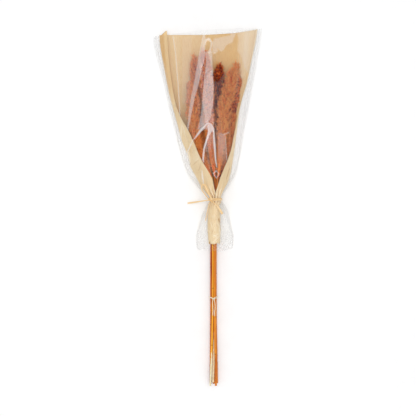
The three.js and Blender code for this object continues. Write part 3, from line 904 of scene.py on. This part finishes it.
def strands(roots, directions, lengths, widths, droop, shades, random):
    """Three-sided tapering hairs, each with a bend, as (points, faces, shade of each point)."""
    count = len(roots)
    unit = directions / np.linalg.norm(directions, axis=1)[:, None]
    helper = np.cross(unit, random.normal(size=(count, 3)))
    side = helper / np.linalg.norm(helper, axis=1)[:, None]
    other = np.cross(unit, side)
    # Two rings of three corners, and a tip.
    points = np.zeros((count, 7, 3))
    # Painted shade: each hair is darker at its root and lighter towards its tip.
    tint = np.zeros((count, 7))
    for k in (0, 1, 2):
        t = k / 2
        centre = roots + unit * (lengths * t)[:, None] + droop * (lengths * t**2)[:, None]
        if k == 2:
            points[:, 6] = centre
            tint[:, 6] = shades + 0.12
            continue
        radius = widths / 2 * (1 - t) ** 0.6
        for c in (0, 1, 2):
            turn = TURN * c / 3
            offset = side * math.cos(turn) + other * math.sin(turn)
            points[:, 3 * k + c] = centre + offset * radius[:, None]
            tint[:, 3 * k + c] = shades + 0.25 * (t - 0.4)
    starts = np.arange(count)[:, None, None] * 7
    quads = np.array([[0, 1, 4, 3], [1, 2, 5, 4], [2, 0, 3, 5]])[None] + starts
    triangles = np.array([[3, 4, 6], [4, 5, 6], [5, 3, 6], [2, 1, 0]])[None] + starts
    faces = quads.reshape(-1, 4).tolist() + triangles.reshape(-1, 3).tolist()
    return points.reshape(-1, 3), faces, tint.ravel()


def keep_in_wrap(points):
    """Packs hairs under the paper and the film, which press them flatter towards the sides."""
    x, y, z = points.T.copy()
    inner = np.clip(y, 5, 326)
    x = np.clip(x, paper_left(inner) + 2.5, paper_right(inner) - 2.5)
    roof = paper_front(x, inner) - 0.9
    z = z * np.clip(1.12 * roof / paper_front(0 * x, inner), 0.15, 1)
    z = np.where(z > roof, roof - 0.15 * np.minimum(z - roof, 3), z)
    return np.stack([x, y, np.maximum(z, 1.9)], axis=1)


# tone: how light a plume is; the dark tones of plume_4 and plume_6, which lie behind the others,
# are painted shade. leafy: how far its hairs stand out. pale_base: how much lighter its lower half
# is. lean, sway and lower: how far its tip and its middle stand to the right of the CAD one's, and
# how far its tip stands below.
PLUMES = {
    "plume_1": {"tone": 0.56, "lower": 10},
    "plume_2": {"tone": 0.56, "sway": 2.5},
    "plume_3": {"tone": 0.44},
    "plume_4": {"tone": -0.02, "leafy": 1.1, "pale_base": 0.5},
    "plume_5": {"tone": 0.62, "leafy": 1.05, "lean": 7, "sway": -5, "lower": 8, "pale_base": 0.1},
    "plume_6": {"tone": 0.2, "sway": 3.5, "pale_base": 0.5},
}


def make_plume(node, seed, tone, leafy=1.0, lean=0.0, sway=0.0, lower=0.0, pale_base=0.16):
    """A plume's hairs, on branches that rise from its stalk and spread to its outline."""
    random = np.random.default_rng(seed)
    ring = spine(node)
    base, tip = ring[0, 0], ring[-1, 0]
    length = tip - base - lower

    def axis(y):
        share = np.clip((y - base) / length, 0, 1)
        x, z = (np.interp(base + share * (tip - base), ring[:, 0], ring[:, k]) for k in (1, 2))
        blunt = base + share**1.7 * (tip - base)
        half_x, half_z = (np.interp(blunt, ring[:, 0], ring[:, k]) for k in (3, 4))
        fan_out = 1 + 0.5 * (1 - smooth(y, 90, 200)) * smooth(y, 30, 70)
        widen = 1 + 0.55 * (1 - smooth(y, 110, 215)) * smooth(y, 30, 70)
        bent = x * fan_out + lean * share**2 + sway * np.sin(math.pi * share)
        return bent, z, half_x * widen, half_z

    branches, tufts, hairs = 250, 15, 3
    start = base + length * (0.93 * np.linspace(0, 1, branches) ** 0.85)
    turn = random.uniform(0, TURN, branches)
    reach = random.uniform(22, 44, branches) * (1 - 0.5 * (start - base) / length)
    spread = random.uniform(0.5, 1.0, branches) ** 0.6 * leafy

    def branch_point(share):
        y = start[:, None] + reach[:, None] * share
        x0, z0, half_x, half_z = axis(y)
        out = spread[:, None] * share**0.7
        x = x0 + half_x * out * np.cos(turn)[:, None]
        z = z0 + half_z * out * np.sin(turn)[:, None]
        return np.stack([x, y, z], axis=-1)

    t = np.sort(random.uniform(0.1, 1.0, (branches, tufts)), axis=1)
    roots = branch_point(t)
    grow = branch_point(np.minimum(t + 0.05, 1.05)) - roots
    grow /= np.linalg.norm(grow, axis=-1)[..., None]
    away = np.stack([np.cos(turn), 0 * turn, np.sin(turn)], axis=-1)[:, None, :]
    tuft_way = grow * 0.7 + away * 0.5 + random.normal(0, 0.42, roots.shape)
    depth = spread[:, None] * t**0.7
    # Painted shade: tufts nearer the plume's core are darker. The lower half is lighter by
    # pale_base, and the V just above the neck, shaded by the paper, gets painted light.
    tuft_shade = tone + 0.34 * (depth - 0.6) + random.normal(0, 0.22, depth.shape)
    tuft_shade += pale_base * (1 - smooth(roots[..., 1], 145, 185))
    tuft_shade += 0.2 * (1 - smooth(roots[..., 1], 70, 110))

    def each_hair(values):
        return np.repeat(values.reshape(branches * tufts, -1), hairs, axis=0)

    count = branches * tufts * hairs
    directions = each_hair(tuft_way) + random.normal(0, 0.2, (count, 3))
    roots = each_hair(roots) + random.normal(0, 0.25, (count, 3))
    lengths = each_hair(random.uniform(4, 9, (branches, tufts)))[:, 0]
    lengths = lengths * random.uniform(0.8, 1.1, count)
    widths = random.uniform(0.7, 1.1, count)
    droop = random.normal(0, 0.12, (count, 3)) + [0, 0.12, -0.05]
    shades = each_hair(tuft_shade)[:, 0] + random.normal(0, 0.05, count)
    hair = strands(roots, directions, lengths, widths, droop, shades, random)

    # The branches themselves, and the stalk that runs up to the tip.
    low = branch_point(np.zeros((branches, 1)))[:, 0]
    high = branch_point(np.full((branches, 1), 0.95))[:, 0]
    # Painted light: branches that start low, in the paper's shade above the neck, are lighter.
    bough = strands(
        low, high - low, np.linalg.norm(high - low, axis=1), np.full(branches, 1.1),
        np.zeros((branches, 3)), tone - 0.2 + 0.3 * (1 - smooth(start, 60, 120)), random,
    )
    y = np.linspace(base - 1, base + length - 2, 60)
    x0, z0, _, _ = axis(y)
    rings = np.linspace(1.7, 0.3, 60)[:, None, None] * circle(8)
    stalk = sweep(np.stack([x0, y, z0], axis=1), rings)
    points, faces = joined([hair[:2], bough[:2], stalk])
    shade = np.concatenate([hair[2], bough[2], np.full(len(stalk[0]), tone - 0.15)])
    make_piece(f"{node}_hair", keep_in_wrap(points), faces, [PLUME], "plume", node, shade=shade)


# cut: the length of the slanting cut. joints: where the stem's nodes are, above its cut end.
# shift: how far it bends sideways at its cut end, by the string and below the paper.
STEMS = {
    "stem_1": {"tone": "red", "cut": 7, "joints": (120, 236)},
    "stem_2": {"tone": "amber", "cut": 70, "joints": (82, 196), "slim": 0.84,
               "shift": (-3, 0.5, 1.9)},
    "stem_3": {"tone": "brown", "cut": 108, "joints": (150, 250), "shift": (-1, 1.8, 1.8)},
    "stem_4": {"tone": "orange", "cut": 8, "joints": (95, 205)},
    "stem_5": {"tone": "orange", "cut": 9, "joints": (64, 176)},
    "stem_6": {"tone": "orange", "cut": 6, "joints": (134, 222)},
}
LONG_CUT = 20  # a cut longer than this shows the pith


def make_stem(node, tone, cut, joints, seed, slim=1.0, shift=(0, 0, 0)):
    low, high = box_mm(node)
    bottom, top = low[1] - NECK[1], high[1] - NECK[1]
    ring = spine(node)
    radius = float(np.median(ring[:, 3]))
    # The CAD stem's rings within its slanting cut aren't whole, so the line runs on past them.
    ring = ring[(ring[:, 3] > 0.9 * radius) & (ring[:, 4] > 0.9 * radius)]
    y = np.unique(np.concatenate([
        np.linspace(bottom, top, 210),
        *[bottom + j + np.array([-1.6, -0.8, -0.3, 0, 0.3, 0.8, 1.6]) for j in joints],
    ]))

    def along(values):
        slope = (values[2] - values[0]) / (ring[2, 0] - ring[0, 0])
        before = values[0] + slope * (y - ring[0, 0])
        return np.where(y < ring[0, 0], before, np.interp(y, ring[:, 0], values))

    bend = through((bottom, shift[0]), (bottom + 110, shift[1]), (-120, shift[2]), (-40, 0))(y)
    x, z = along(ring[:, 1]) + bend, along(ring[:, 2])
    radius *= slim
    swell = sum(np.exp(-(((y - bottom - j) / 1.1) ** 2)) for j in joints)
    size = radius * (0.97 + 0.1 * swell + 0.02 * wander(y, seed, 4, 22))
    groove = 1 + 0.025 * np.sin(7 * around_in(18) + seed)[:, None]
    rings = size[:, None, None] * groove * circle(18)
    points, faces = sweep(np.stack([x, y, z], axis=1), rings)

    # The slanting cut: what lies above the plane is pressed down on to it.
    end_x = np.interp(points[:, 1], y, x)
    end_z = np.interp(points[:, 1], y, z)
    share = (points[:, 1] - bottom) / cut
    scoop = 0.12 * radius * (1 - ((points[:, 0] - end_x) / radius) ** 2)
    plane = end_z + radius * (-0.8 + 1.8 * share) - scoop
    on_cut = (points[:, 2] > plane) & (share < 1)
    points[:, 2] = np.where(on_cut, plane, points[:, 2])
    joint = np.interp(points[:, 1], y, np.clip(swell, 0, 1))
    piece = make_piece(
        f"{node}_cane", points, faces, [STEM_TONES[tone], PITH], "stem", node,
        joint=np.clip(1.6 * joint - 0.7, 0, 0.55),
    )
    if cut > LONG_CUT:
        for polygon in piece.data.polygons:
            if all(on_cut[i] for i in polygon.vertices):
                polygon.material_index = 1


# ---- raffia and string

# The free strands' routes, as in the CAD model: across, along and above the table, in mm.
RAFFIA_ROUTES = {
    "raffia_loop": (
        [[-14.4, 1.6, 28.2], [-18.5, 7, 29], [-23, 13, 29.4], [-26.8, 19, 29.8],
         [-28, 25, 30.4], [-25.4, 29.4, 31.4], [-21, 28.4, 33], [-17.4, 22, 33.4],
         [-14, 14, 32.4], [-11, 7, 30.6], [-9.6, 4.4, 29.6]],
        (2.0, 2.2, 2.2, 2.4, 2.8, 4.2, 4.6, 4.2, 3.2), "object",
    ),
    "raffia_tail_left": (
        [[-14.6, -1.4, 26.2], [-21, -2.4, 23], [-29, -3.6, 17], [-37, -4.8, 10.6],
         [-44, -5.8, 5.2], [-50, -6.6, 2.4], [-56.2, -7.4, 1.6]],
        (2.2, 2.4, 2.6, 2.9, 3.2, 3.2, 2.8), "bare",
    ),
    "raffia_tail_right": (
        [[-5.2, -5.4, 28.6], [-0.5, -9.2, 28.4], [4.4, -14.4, 28], [8.8, -20.6, 27.4],
         [13.8, -29.2, 26.6]],
        (2.4, 2.4, 2.8, 3.8, 4.8, 4.6), "bare",
    ),
    "raffia_tail_down": (
        [[-11.6, -5.6, 26.6], [-13.6, -12, 25.4], [-15.4, -20, 25], [-17.4, -30, 25.4],
         [-19.9, -42.6, 25.8]],
        (1.8, 1.6, 1.5, 1.6, 1.4), "bare",
    ),
}
STRING_ROUTES = {
    "string_tail_1": [[-5, -199.4, 20.6], [-5.8, -207, 20.4], [-5.2, -216, 20.4],
                      [-4.8, -224, 20.4], [-5.4, -232, 20.6]],
    "string_tail_2": [[-2.6, -199.6, 20.4], [-1, -208, 20.2], [-0.6, -217, 20.2],
                      [-1.6, -225, 20.4], [-1.4, -233, 20.6]],
}


def strip_section(widths, thickness, curl, count, seed):
    """Sections of a flat strip with a crease down its middle, and the grain across each."""
    share = np.linspace(-1, 1, 9)
    width = np.interp(np.linspace(0, 1, count), np.linspace(0, 1, len(widths)), widths)
    fold = curl * (1 + 0.4 * wander(np.arange(count, dtype=float), seed, 4, 18))
    grain = np.random.default_rng(seed).random(18)
    edge = thickness / 2 * (1 - 0.6 * share**4)
    rings = []
    for half, crease in zip(width / 2, fold):
        bow = crease * (np.abs(share) - 0.5) * half
        top = np.stack([share * half, bow + edge], axis=1)
        under = np.stack([share * half, bow - edge], axis=1)[::-1]
        rings.append(np.vstack([top, under]))
    return np.array(rings), np.tile(grain, count)


def make_strip(node, points, faces, grain):
    return make_piece(
        f"{node}_strip", points, faces, [RAFFIA_STRIP], "raffia", node, grain=grain
    )


def make_raffia(node, route, widths, seed):
    line = resample(route, 90)
    section, grain = strip_section(widths, 0.45, 0.35, 90, seed)
    piece = make_strip(node, *sweep(line, section), grain)


def make_turn(node, y, tilt, seed):
    """One turn of raffia round the neck."""
    count = 120
    turn = around_in(count)
    radius = BAND_RADIUS - 0.55 + 0.25 * wander(turn * 4, seed, 4, 6)
    lean = y + tilt * np.cos(turn) + 0.25 * np.sin(2 * turn + seed)
    out = np.stack([np.cos(turn), 0 * turn, np.sin(turn)], axis=1)[:, None]
    middle = radius[:, None] * out[:, 0] + np.stack([0 * turn, lean, 0 * turn + NECK_HEIGHT], 1)
    share = np.linspace(-1, 1, 9)
    grain = np.random.default_rng(seed).random(18)
    width = RAFFIA * (1.05 + 0.12 * np.sin(3 * turn + seed))
    across = middle[:, None] + (width[:, None] * share / 2)[..., None] * [0, 1, 0]
    bow = 0.28 * (1 - np.abs(share))[:, None]
    edge = 0.22 * (1 - 0.5 * share**4)[:, None]
    rings = np.concatenate([across + out * (bow + edge), (across + out * (bow - edge))[:, ::-1]], 1)
    make_strip(node, rings.reshape(-1, 3), tube_faces(count, 18, True), np.tile(grain, count))


def make_knot():
    """The raffia knot: the strands that meet in it, drawn tight over each other."""
    crossings = [
        ([[-15.2, -1.5, 26.6], [-11.5, -0.6, 29.2], [-6, 0.8, 29.4], [-1.5, 1.2, 27.6]],
         (2.2, 3, 2.8)),
        ([[-10, 5, 30.2], [-8.6, 2, 31.2], [-7.4, -1.2, 30.8], [-7.6, -3.4, 28.6]],
         (3.4, 4, 2.4)),
        ([[-15.2, 2.6, 28.6], [-11.4, -1, 31], [-8, -3.6, 31], [-4.4, -6.1, 28.8]],
         (2.2, 3, 2.6)),
    ]
    parts, grains = [], []
    for k, (route, widths) in enumerate(crossings):
        section, grain = strip_section(widths, 0.6, 0.5, 30, 90 + k)
        parts.append(sweep(resample(route, 30), section))
        grains.append(grain)
    # A small core fills the middle, where the strands cross.
    around = around_in(20)
    down = np.linspace(0.12, math.pi - 0.12, 12)
    core = np.array([
        [3.4 * math.sin(b) * math.cos(a), 3 * math.sin(b) * math.sin(a), 2.2 * math.cos(b) - 0.4]
        for b in down for a in around
    ]) + middle_of("raffia_knot")
    core_faces = grid_faces(12, 20, True)
    core_faces += [list(range(20))[::-1], [11 * 20 + i for i in range(20)]]
    parts.append((core, core_faces))
    grains.append(np.tile(np.random.default_rng(9).random(20), 12))
    make_piece(
        "raffia_knot_strips", *joined(parts), [RAFFIA_STRIP], "raffia", "raffia_knot",
        grain=np.concatenate(grains),
    )


STRING_THICKNESS = 1.5
PLY_PITCH = 3.6


def twist(line, closed=False):
    """Two plies twisted round a line."""
    along = steps(line)
    length = along[-1]
    if closed:
        length += np.linalg.norm(line[0] - line[-1])
        tangent = np.roll(line, -1, 0) - np.roll(line, 1, 0)
        tangent /= np.linalg.norm(tangent, axis=1)[:, None]
        side = np.repeat(np.array([[0, 1.0, 0]]), len(line), axis=0)
        up = np.cross(side, tangent)
    else:
        side, up = frames_along(line)
    phase = TURN * max(1, round(length / PLY_PITCH)) * along / length
    side, up = side[:, None], up[:, None]
    around = around_in(7)[None, :, None]
    parts = []
    for ply in (0, math.pi):
        place = (phase + ply)[:, None, None]
        rings = line[:, None] + STRING_THICKNESS * (
            0.24 * (side * np.cos(place) + up * np.sin(place))
            + 0.27 * (side * np.cos(around) + up * np.sin(around))
        )
        parts.append((rings.reshape(-1, 3), tube_faces(len(line), 7, closed)))
    return joined(parts)


def make_string():
    low, high = box_mm("string_tie")
    centre = middle_of("string_tie")
    radius = float(high[0] - low[0]) / 2 - STRING_THICKNESS / 2
    turn = around_in(160)
    # Each turn dips towards the knot on the front, as a tie pulled tight does.
    dip = -2.4 * np.exp(-(((turn - math.pi / 2) / 0.5) ** 2))
    parts = []
    for shift, tilt in ((0.75, 0.5), (-0.75, -0.4)):
        line = centre + np.stack([
            radius * np.cos(turn), shift + tilt * np.cos(turn) + dip, radius * np.sin(turn)
        ], axis=1)
        parts.append(twist(line, closed=True))
    make_piece("string_tie_turns", *joined(parts), [STRING], "string", "string_tie")

    s = np.linspace(0, TURN, 60)
    tangle = middle_of("string_knot") + np.stack([
        1.5 * np.sin(s) + 0.5 * np.sin(2 * s),
        -2.2 + 1.28 * np.sin(2 * s) + 0.8 * np.cos(s),
        0.8 * np.cos(3 * s),
    ], axis=1)
    make_piece("string_knot_tangle", *twist(tangle), [STRING], "string", "string_knot")

    for node, route in STRING_ROUTES.items():
        line = resample(route, 110)
        piece = make_piece(f"{node}_twist", *twist(line), [STRING], "string", node)


# ---- camera, light and floor


def add_camera():
    """Straight above the middle of the bundle, at the photograph's framing."""
    camera_data = bpy.data.cameras.new("camera")
    camera_data.lens = 85
    camera_data.sensor_width = 36
    camera_data.clip_end = 20
    camera = bpy.data.objects.new("camera", camera_data)
    camera.location = (0.0006, 0.0002, 1.984)
    bpy.context.scene.collection.objects.link(camera)
    bpy.context.scene.camera = camera


def add_panel(name, place, size, power):
    """A rectangular soft light that faces the bundle's upper half."""
    data = bpy.data.lights.new(name, "AREA")
    data.shape = "RECTANGLE"
    data.size, data.size_y = size
    data.energy = power
    light = bpy.data.objects.new(name, data)
    light.location = place
    towards = np.array((0, 0.05, 0)) - np.array(place)
    tilt = math.acos(-towards[2] / float(np.linalg.norm(towards)))
    light.rotation_euler = (tilt, 0, math.atan2(towards[1], towards[0]) - math.pi / 2)
    bpy.context.scene.collection.objects.link(light)


def add_stage():
    scene = bpy.context.scene
    scene.view_settings.view_transform = "Standard"
    world = bpy.data.worlds.new("studio")
    world.use_nodes = True
    tree = world.node_tree
    # The sky is dimmer towards the horizon, so the film's glare has something to show.
    where = tree.nodes.new("ShaderNodeTexCoord").outputs["Generated"]
    split = tree.nodes.new("ShaderNodeSeparateXYZ")
    tree.links.new(where, split.inputs[0])
    height = tree.nodes.new("ShaderNodeMapRange")
    tree.links.new(split.outputs["Z"], height.inputs["Value"])
    height.inputs["To Min"].default_value = 0.5
    height.inputs["To Max"].default_value = 0.95
    background = tree.nodes["Background"]
    tree.links.new(height.outputs[0], background.inputs["Strength"])
    background.inputs["Color"].default_value = (1, 1, 1, 1)
    scene.world = world
    add_panel("overhead", (0, 0.05, 3.0), (2.2, 2.2), 27)
    add_panel("left_strip", (-0.62, 0.0, 2.5), (0.3, 1.8), 2.4)

    # The floor lies a hair under the table plane, clear of the film.
    mesh = bpy.data.meshes.new("floor")
    corners = [(-6, -6, -0.0002), (6, -6, -0.0002), (6, 6, -0.0002), (-6, 6, -0.0002)]
    mesh.from_pydata(corners, [], [[0, 1, 2, 3]])
    mesh.materials.append(floor_material())
    floor = bpy.data.objects.new("floor", mesh)
    scene.collection.objects.link(floor)


# ---- the bundle

add_camera()
for seed, (node, (route, widths, far_end)) in enumerate(RAFFIA_ROUTES.items()):
    make_raffia(node, route, widths, 200 + seed)
make_string()
make_turn("raffia_turn_1", -BAND_PITCH / 2, 0.5, 1)
make_turn("raffia_turn_2", BAND_PITCH / 2, -0.4, 2)
make_knot()
paper = make_paper()
film = make_film()
for seed, (node, look) in enumerate(PLUMES.items()):
    make_plume(node, seed=500 + seed, **look)
for seed, (node, look) in enumerate(STEMS.items()):
    make_stem(node, seed=700 + seed, **look)

add_stage()
